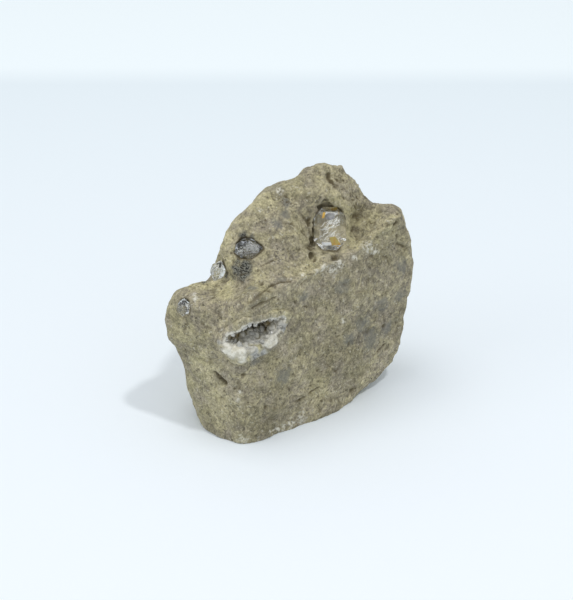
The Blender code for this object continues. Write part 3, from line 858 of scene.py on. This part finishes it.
# Clouding: two tones that mingle in soft clouds, from the low to the high part of its noise.
clouding, clouding_in, clouding_out = new_group(
    "clouding",
    (
        ("Vector", "Vector", None),
        ("First", "Color", None),
        ("Second", "Color", None),
        ("Scale", "Float", 500.0),
        ("Detail", "Float", 3.0),
        ("Low", "Float", 0.4),
        ("High", "Float", 0.6),
    ),
    (("Color", "Color", None),),
)
clouds = add_node(clouding, "ShaderNodeTexNoise", -500, 0)
clouds.inputs["Roughness"].default_value = 0.6
step = add_node(clouding, "ShaderNodeMapRange", -300, 0, interpolation_type="SMOOTHSTEP")
for name, socket in (
    ("Vector", clouds.inputs["Vector"]),
    ("Scale", clouds.inputs["Scale"]),
    ("Detail", clouds.inputs["Detail"]),
    ("Low", step.inputs["From Min"]),
    ("High", step.inputs["From Max"]),
):
    clouding.links.new(clouding_in.outputs[name], socket)
clouding.links.new(clouds.outputs["Fac"], step.inputs["Value"])
tones = (clouding_in.outputs["First"], clouding_in.outputs["Second"])
color = mix_colors(clouding, -100, 0, step.outputs["Result"], *tones)
clouding.links.new(color, clouding_out.inputs["Color"])


def clouded_material(name, first, second, scale, roughness):
    """A plain mineral of two mingled tones."""
    material, tree, shader = new_material(name)
    place = place_node(tree)
    clouded = place_group(
        tree, clouding, -300, 0, Vector=place, First=first, Second=second, Scale=scale
    )
    tree.links.new(clouded.outputs["Color"], shader.inputs["Base Color"])
    shader.inputs["Roughness"].default_value = roughness
    return material


RUST_YELLOW = (0.60, 0.47, 0.10, 1.0)
RUST_ORANGE = (0.60, 0.34, 0.03, 1.0)
HEALED_WHITE = (0.95, 0.95, 0.93, 1.0)
HEALED_GREY = (0.80, 0.80, 0.77, 1.0)
# Dark greys of the plate that paints a dark reflection in the main crystal.
REFLECTION_DARK = (0.10, 0.10, 0.11, 1.0)
REFLECTION_GREY = (0.30, 0.30, 0.31, 1.0)
CARBON_BLACK = (0.018, 0.018, 0.02, 1.0)
CARBON_GREY = (0.05, 0.05, 0.05, 1.0)
FLAKE_THICKNESS = 0.1

# Corners of the iron flakes and of the dark plate for the painted reflection: how far right and up
# they are along the face, and how deep they lie under it, in millimetres.
TIP_FLAKES = (
    ((-1.7, 1.66), (0.43, 2.0), (2.4, -1.16), (-0.72, -1.35)),
    ((0.5, -1.5), (1.9, -1.6), (1.4, -2.0)),
)
TIP_FLAKE_DEPTH = 0.35
FACE_FLAKE = ((-3.1, 4.6), (-2.3, 4.5), (-2.8, 2.4), (-3.7, 2.3))
FACE_FLAKE_DEPTH = 0.5
DARK_REFLECTION = ((-2.2, 2.2), (-2.0, 3.9), (-1.2, 4.3), (0.7, 4.1), (1.0, 2.7), (0.3, 2.0), (-1.1, 1.8))
DARK_REFLECTION_DEPTH = 1.3

rust = clouded_material("rust_flake", RUST_YELLOW, RUST_ORANGE, 600.0, 0.6)
bm = bmesh.new()
for flake in TIP_FLAKES:
    corners = [on_plane(TIP_MIDDLE, TIP_OUT, TIP_UP, a, b, TIP_FLAKE_DEPTH) for a, b in flake]
    add_flake(bm, corners, TIP_OUT, FLAKE_THICKNESS)
corners = [on_plane(FACE_MIDDLE, FACE_OUT, FACE_UP, a, b, FACE_FLAKE_DEPTH) for a, b in FACE_FLAKE]
add_flake(bm, corners, FACE_OUT, FLAKE_THICKNESS)
finish_piece(bm, "rust_flakes", rust)

# Healed cracks: how far right and up their middle is, how far they scatter, and how many.
CRACK_BANDS = (
    ((0.2, 0.6), (2.2, 1.6), 42),
    ((0.9, -3.6), (2.0, 1.4), 34),
    ((-2.6, -2.4), (1.5, 2.6), 26),
    ((2.4, 2.6), (1.4, 2.2), 16),
)
# Least and most length, bow, depth and width of a healed crack, in millimetres, and its slope.
CRACK_SLOPE = (25.0, 62.0)
CRACK_LENGTH = (1.0, 2.8)
CRACK_BOW = (-0.5, -0.15)
CRACK_DEPTH = (0.4, 1.8)
CRACK_WIDTH = (0.10, 0.27)
CRACK_STEPS = 8
# Milky veils: the crystal, the middle of each, its spread, the size of a fleck and the count.
# Every fleck and crack keeps this far inside the faces.
SPECK_MARGIN = 0.3
VEILS = (
    (1, (-14.4, -9.2, 67.2), (3.0, 1.4, 1.8), 0.15, 380),
    (1, (-18.4, -10.4, 66.2), (1.4, 0.8, 1.0), 0.16, 60),
    (2, (-25.8, -9.4, 58.8), (1.6, 1.0, 2.0), 0.15, 160),
    (3, (-36.6, -20.8, 50.4), (1.4, 1.0, 1.4), 0.13, 70),
)
dice = random.Random(5)


def add_specks(bm, clouds):
    """Scatters grains in soft clouds inside the crystals."""
    for number, middle, spread, size, count in clouds:
        for _ in range(count):
            point = Vector([(c + s * dice.gauss(0.0, 0.5)) * MM for c, s in zip(middle, spread)])
            if inside(crystals[number], point, SPECK_MARGIN):
                add_speck(bm, point, size * dice.uniform(0.5, 1.3), dice)


healed = clouded_material("healed_crack", HEALED_WHITE, HEALED_GREY, 700.0, 0.35)
bm = bmesh.new()
for (right, up), (spread_right, spread_up), count in CRACK_BANDS:
    for _ in range(count):
        middle_right = right + spread_right * dice.uniform(-1.0, 1.0)
        middle_up = up + spread_up * dice.uniform(-1.0, 1.0)
        slope = math.radians(dice.uniform(*CRACK_SLOPE))
        length = dice.uniform(*CRACK_LENGTH)
        curve = dice.uniform(*CRACK_BOW)
        depth = dice.uniform(*CRACK_DEPTH)
        level = FACE_UP * math.cos(slope) - FACE_RIGHT * math.sin(slope)
        across = (level + FACE_OUT * dice.uniform(-0.8, 0.8)).normalized()
        path = []
        for k in range(CRACK_STEPS + 1):
            along = (k / CRACK_STEPS - 0.5) * length
            bow = curve * (1.0 - (2.0 * k / CRACK_STEPS - 1.0) ** 2)
            a = middle_right + along * math.cos(slope) - bow * math.sin(slope)
            b = middle_up + along * math.sin(slope) + bow * math.cos(slope)
            path.append(on_plane(FACE_MIDDLE, FACE_OUT, FACE_UP, a, b, depth))
        if all(inside(crystals[0], point, SPECK_MARGIN) for point in path):
            add_ribbon(bm, path, across, dice.uniform(*CRACK_WIDTH))
add_specks(bm, VEILS)
finish_piece(bm, "healed_cracks", healed)

# Black specks: the crystal, the middle of the cloud, its spread, the size of a speck and the count.
SPECK_CLOUDS = (
    (1, (-18.2, -9.0, 68.0), (2.0, 1.6, 1.6), 0.20, 170),
    (1, (-15.2, -9.2, 67.2), (3.6, 1.6, 2.2), 0.13, 110),
    (0, (13.2, 6.0, 71.6), (0.9, 0.8, 1.2), 0.09, 40),
    (3, (-38.2, -20.6, 51.6), (1.6, 0.8, 1.0), 0.17, 70),
)
# Short black strokes in the ledge crystal: both ends of each and the size of its grains.
STROKES = (
    ((-26.2, -10.5, 61.2), (-24.3, -9.9, 61.5), 0.26),
    ((-25.2, -10.4, 61.1), (-25.6, -11.0, 60.0), 0.24),
    ((-24.4, -10.2, 61.0), (-24.1, -10.4, 60.1), 0.24),
)
STROKE_GRAINS = 9
STROKE_MARGIN = 0.2
# A thin dark grey plate under the main crystal's front face: a painted dark reflection.
reflection_film = clouded_material("dark_reflection_film", REFLECTION_DARK, REFLECTION_GREY, 900.0, 0.3)
bm = bmesh.new()
corners = [on_plane(FACE_MIDDLE, FACE_OUT, FACE_UP, a, b, DARK_REFLECTION_DEPTH) for a, b in DARK_REFLECTION]
add_flake(bm, corners, FACE_OUT, FLAKE_THICKNESS)
finish_piece(bm, "dark_reflection_plate", reflection_film)

carbon = clouded_material("carbon", CARBON_BLACK, CARBON_GREY, 1500.0, 0.4)
bm = bmesh.new()
add_specks(bm, SPECK_CLOUDS)
for start, end, size in STROKES:
    for k in range(STROKE_GRAINS):
        point = Vector(start).lerp(Vector(end), k / (STROKE_GRAINS - 1)) * MM
        if inside(crystals[2], point, STROKE_MARGIN):
            add_speck(bm, point, size, dice)
finish_piece(bm, "carbon_specks", carbon)

# The crust in the vug.
# A crust of small milky and grey quartz crystals that lines the open hollow of the front edge,
# with thick cream lumps on its lower rim, and brown stain with painted shade under its roof.

# How far the crust swells, more on its rim, the width and height of its two sizes of peak, and
# the middle of the vug, in millimetres.
CRUST_GRID = 0.32 * MM
CRUST_SMOOTHING = 2
CRUST_SWELL = 0.3
RIM_SWELL = 0.35
CRUST_PEAKS = ((1.5, 0.55), (0.7, 0.28))
VUG_MIDDLE = (-13.5, -23.5, 42.0)
# Cream lumps, grey ground on the rim, and brown stain with painted shade under the roof: centre
# and radius of each, in millimetres.
CREAM_LUMPS = (
    ((-17.8, -31.7, 37.0), 2.6),
    ((-20.4, -31.4, 37.4), 2.4),
    ((-22.6, -30.4, 38.8), 2.0),
    ((-19.4, -31.2, 38.9), 2.0),
    ((-17.4, -31.4, 34.8), 1.7),
    ((-7.0, -25.9, 38.9), 2.1),
    ((-8.4, -26.6, 38.3), 1.6),
)
LUMP_RISE = 0.8
LUMP_SIZE = 1.6
GREY_RIM = (
    ((-12.9, -28.9, 34.4), 2.8),
    ((-13.4, -29.4, 36.4), 2.0),
    ((-10.6, -27.4, 35.8), 2.2),
    ((-3.4, -22.4, 42.4), 2.2),
    ((-24.2, -29.6, 40.6), 1.3),
)
LIP_WIDTH = 0.2
ROOF_STAIN_AND_SHADE = (
    ((-17.0, -18.0, 45.0), 8.0),
    ((-10.0, -17.0, 46.0), 7.0),
    ((-20.6, -25.0, 42.0), 5.0),
    ((-8.0, -19.0, 41.0), 4.0),
)
crust = close_skin(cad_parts["druse_crust"], "vug_crust", CRUST_GRID, CRUST_SMOOTHING)
points = corners_of(crust.data)
outward = normals_of(crust.data)


def facing_middle(points, outward):
    """How squarely each point looks toward the middle of the vug, from -1 to 1."""
    to_middle = np.array(VUG_MIDDLE) * MM - points
    return (outward * to_middle).sum(axis=1) / np.linalg.norm(to_middle, axis=1)


inward = np.clip(facing_middle(points, outward) * 3.0 + 0.2, 0.0, 1.0)
lumps = ragged_patches(points, CREAM_LUMPS, np.full(len(points), 1.2))
rise = (CRUST_SWELL + RIM_SWELL * (1.0 - inward)) * MM
for seed, (size, height) in enumerate(CRUST_PEAKS):
    way, near, far, marks = cells_at(points, size, 40 + seed)
    peak = np.clip((far - near) / size, 0.0, 1.0) * (0.5 + marks[:, 0])
    rise += height * MM * peak * np.maximum(inward, 0.35 + 0.4 * lumps)
way, near, far, marks = cells_at(points, LUMP_SIZE, 44)
domes = np.clip(1.0 - (near / LUMP_SIZE) ** 2 * 2.0, 0.0, 1.0)
rise += LUMP_RISE * MM * lumps * (0.55 + 0.75 * domes)
opening = KDTree(int((inward > 0.5).sum()))
for number, seat in enumerate(np.flatnonzero(inward > 0.5)):
    opening.insert(points[seat], number)
opening.balance()
from_opening = np.array([opening.find(point)[2] for point in points]) / MM
uneven = 1.0 + 0.5 * noise_at(points, 1.8, 51)
lump = ragged_patches(points, CREAM_LUMPS, uneven)
grey = ragged_patches(points, GREY_RIM, uneven)
lip = np.clip(1.0 - (from_opening - LIP_WIDTH) / 0.3, 0.0, 1.0) * (1.0 - inward)
set_mask(crust.data, "rim", np.clip(1.0 - inward - lip - lump - grey, 0.0, 1.0))
set_mask(crust.data, "lump", np.maximum(lump, 0.75 * lip * (1.0 - grey)))
set_mask(crust.data, "grey", grey * (1.0 - inward))
# Brown stain with painted shade under the roof of the vug.
set_mask(crust.data, "roof_stain_and_shade", ragged_patches(points, ROOF_STAIN_AND_SHADE, uneven) * inward)
points = points + outward * rise[:, None]
set_corners(crust.data, points)

MILKY = (0.78, 0.765, 0.69, 1.0)
SMOKY = (0.52, 0.505, 0.45, 1.0)
LUMP_CREAM = (0.80, 0.775, 0.67, 1.0)
LUMP_SHADE = (0.60, 0.565, 0.45, 1.0)
GREY_QUARTZ = (0.17, 0.168, 0.150, 1.0)
GREY_SPARKLE = (0.44, 0.435, 0.40, 1.0)
# Brown of iron stain and of painted shade under the vug's roof.
ROOF_BROWN_AND_SHADE = (0.235, 0.18, 0.075, 1.0)
CURDLES = (700.0, 4.0, 0.7, 0.40, 0.56)

druse, tree, shader = new_material("druse_quartz")
place = place_node(tree)
clouded = place_group(
    tree, clouding, -900, 200, Vector=place, First=SMOKY, Second=MILKY, Scale=420.0, Detail=4.0
)
# Brown stain and painted shade under the roof.
color = cover(tree, -550, 200, clouded.outputs["Color"], "roof_stain_and_shade", ROOF_BROWN_AND_SHADE)
curdled = noise_mask(tree, -900, -100, place, *CURDLES)
grey_ground = mix_colors(tree, -650, 60, curdled, GREY_SPARKLE, GREY_QUARTZ)
color = cover(tree, -480, 200, color, "grey", grey_ground)
cream = mix_colors(tree, -600, -100, curdled, LUMP_SHADE, LUMP_CREAM)
color = cover(tree, -400, 200, color, "lump", cream)
grain = place_group(tree, sugar, -700, -300, Vector=place)
color = cover(tree, -250, 200, color, "rim", grain.outputs["Color"])
tree.links.new(color, shader.inputs["Base Color"])
shader.inputs["Roughness"].default_value = 0.38
add_bump(tree, shader, grain.outputs["Height"], 0.6, 0.2)
crust.data.materials.append(druse)
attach(crust, "root")
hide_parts("druse_crust")

# The free points of the crust.
# Tiny six-sided quartz points, grey and half clear, that grew on the crust inside the vug. Their
# feet are sunk in it, and those under the roof share its brown stain and painted shade.

# How many there are, their least and most radius and length in millimetres, how squarely their
# seats look into the vug, and how far forward they start, in metres.
POINT_COUNT = 120
POINT_RADIUS = (0.30, 0.95)
POINT_LENGTH = (0.7, 2.2)
SEAT_FACING = 0.15
SEAT_FRONT = -0.0165
POINT_GREY = (0.62, 0.61, 0.56, 1.0)
POINT_PALE = (0.86, 0.85, 0.80, 1.0)


def add_quartz_point(bm, foot, way, radius, length, turn):
    """A six-sided prism with a pyramid on top, its foot sunk in the crust."""
    side = way.orthogonal().normalized()
    other = way.cross(side)
    rings = []
    for height, share in ((-0.3, 1.0), (0.55, 0.94)):
        ring = []
        for k in range(6):
            angle = turn + math.tau * k / 6
            reach = (side * math.cos(angle) + other * math.sin(angle)) * radius * share
            ring.append(bm.verts.new((foot + way * length * height + reach) * MM))
        rings.append(ring)
    tip = bm.verts.new((foot + way * length) * MM)
    for k in range(6):
        bm.faces.new((rings[0][k - 1], rings[0][k], rings[1][k], rings[1][k - 1]))
        bm.faces.new((rings[1][k - 1], rings[1][k], tip))
    bm.faces.new(rings[0][::-1])


half_clear, tree, shader = new_material("half_clear_quartz")
place = place_node(tree)
clouded = place_group(
    tree, clouding, -500, 0, Vector=place, First=POINT_GREY, Second=POINT_PALE, Low=0.38, High=0.62
)
# The points under the roof share its brown stain and painted shade.
color = cover(tree, -150, 0, clouded.outputs["Color"], "roof_stain_and_shade", ROOF_BROWN_AND_SHADE, 0.7)
tree.links.new(color, shader.inputs["Base Color"])
shader.inputs["Roughness"].default_value = 0.22
shader.inputs["IOR"].default_value = QUARTZ_IOR
shader.inputs["Transmission Weight"].default_value = 0.35
outward = normals_of(crust.data)
facing = facing_middle(points, outward)
seats = np.flatnonzero((facing > SEAT_FACING) & (points[:, 1] < SEAT_FRONT))
bm = bmesh.new()
for number in dice.sample(list(seats), POINT_COUNT):
    way = Vector(outward[number]) + Vector([dice.gauss(0.0, 0.25) for _ in range(3)])
    size = dice.random() ** 2
    radius = POINT_RADIUS[0] + (POINT_RADIUS[1] - POINT_RADIUS[0]) * size
    length = POINT_LENGTH[0] + (POINT_LENGTH[1] - POINT_LENGTH[0]) * size
    turn = dice.uniform(0.0, 1.0)
    add_quartz_point(bm, Vector(points[number]) / MM, way.normalized(), radius, length, turn)
free_points = finish_piece(bm, "crust_points", half_clear)
corners = corners_of(free_points.data)
stain_and_shade = ragged_patches(corners, ROOF_STAIN_AND_SHADE, 1.0 + 0.5 * noise_at(corners, 1.8, 51))
set_mask(free_points.data, "roof_stain_and_shade", stain_and_shade)

# The floor.
# A plain sheet of matt pale paper that the block rests on, with painted shade that darkens it
# toward the back, and lighter past its far line.

# The paper's tone, darker toward the back as painted shade, at shares of the way from its near line
# to its far line, in metres.
FLOOR_SIZE = 3.0
FLOOR_TONES_AND_SHADE = (
    (0.0, (0.86, 0.91, 0.955, 1.0)),
    (0.30, (0.82, 0.885, 0.93, 1.0)),
    (0.415, (0.80, 0.875, 0.92, 1.0)),
    (0.435, (0.90, 0.97, 1.0, 1.0)),
)
FLOOR_NEAR_Y, FLOOR_FAR_Y = -0.12, 0.82
bm = bmesh.new()
bmesh.ops.create_grid(bm, x_segments=2, y_segments=2, size=FLOOR_SIZE)
mesh = bpy.data.meshes.new("floor")
bm.to_mesh(mesh)
bm.free()
floor = bpy.data.objects.new("floor", mesh)
scene.collection.objects.link(floor)
paper, tree, shader = new_material("pale_paper")
shader.inputs["Roughness"].default_value = 0.9
place = place_node(tree)
split = add_node(tree, "ShaderNodeSeparateXYZ", -900, 0)
tree.links.new(place, split.inputs[0])
along = ranged(tree, -700, 0, split.outputs["Y"], FLOOR_NEAR_Y, FLOOR_FAR_Y, 0.0, 1.0)
tones = add_node(tree, "ShaderNodeValToRGB", -500, 0)
for _ in FLOOR_TONES_AND_SHADE[2:]:
    tones.color_ramp.elements.new(0.5)
for stop, (position, tone) in zip(tones.color_ramp.elements, FLOOR_TONES_AND_SHADE):
    stop.position = position
    stop.color = tone
tree.links.new(along, tones.inputs["Fac"])
tree.links.new(tones.outputs["Color"], shader.inputs["Base Color"])
mesh.materials.append(paper)

# Light and camera.
# A small lamp at the upper right, two broad soft ones at the left and above, and an even pale
# surround. The camera looks down on the front from its middle, through a long lens.

# Each lamp's place and width in metres, and its power in watts.
LAMPS = (
    ("lamp_right", (0.35, -0.30, 1.08), 0.08, 3.3),
    ("lamp_left", (-1.18, -0.50, 0.70), 0.80, 2.5),
    ("lamp_above", (-0.25, 0.10, 1.20), 0.60, 3.1),
)
TARGET = Vector((-0.0018, -0.0020, 0.0417))
for name, position, width, power in LAMPS:
    data = bpy.data.lights.new(name, "AREA")
    data.shape = "SQUARE"
    data.size = width
    data.energy = power
    lamp = bpy.data.objects.new(name, data)
    lamp.location = position
    lamp.rotation_euler = (TARGET - Vector(position)).to_track_quat("-Z", "Y").to_euler()
    scene.collection.objects.link(lamp)

SURROUND_TONE = (0.94, 0.97, 1.0, 1.0)
SURROUND_STRENGTH = 0.62
world = bpy.data.worlds.new("surround")
world.use_nodes = True
world.node_tree.nodes["Background"].inputs["Color"].default_value = SURROUND_TONE
world.node_tree.nodes["Background"].inputs["Strength"].default_value = SURROUND_STRENGTH
scene.world = world
scene.view_settings.view_transform = "Standard"

CAMERA_DISTANCE = 0.900
CAMERA_RISE = math.radians(30.0)
LENS_LENGTH = 150.0
SENSOR_WIDTH = 36.0
CLIP_END = 20.0
camera_data = bpy.data.cameras.new("camera")
camera_data.lens = LENS_LENGTH
camera_data.sensor_width = SENSOR_WIDTH
camera_data.sensor_height = SENSOR_WIDTH
camera_data.sensor_fit = "AUTO"
camera_data.clip_end = CLIP_END
camera = bpy.data.objects.new("camera", camera_data)
away = Vector((0.0, -math.cos(CAMERA_RISE), math.sin(CAMERA_RISE))) * CAMERA_DISTANCE
camera.location = TARGET + away
camera.rotation_euler = (-away).to_track_quat("-Z", "Y").to_euler()
scene.collection.objects.link(camera)
scene.camera = camera
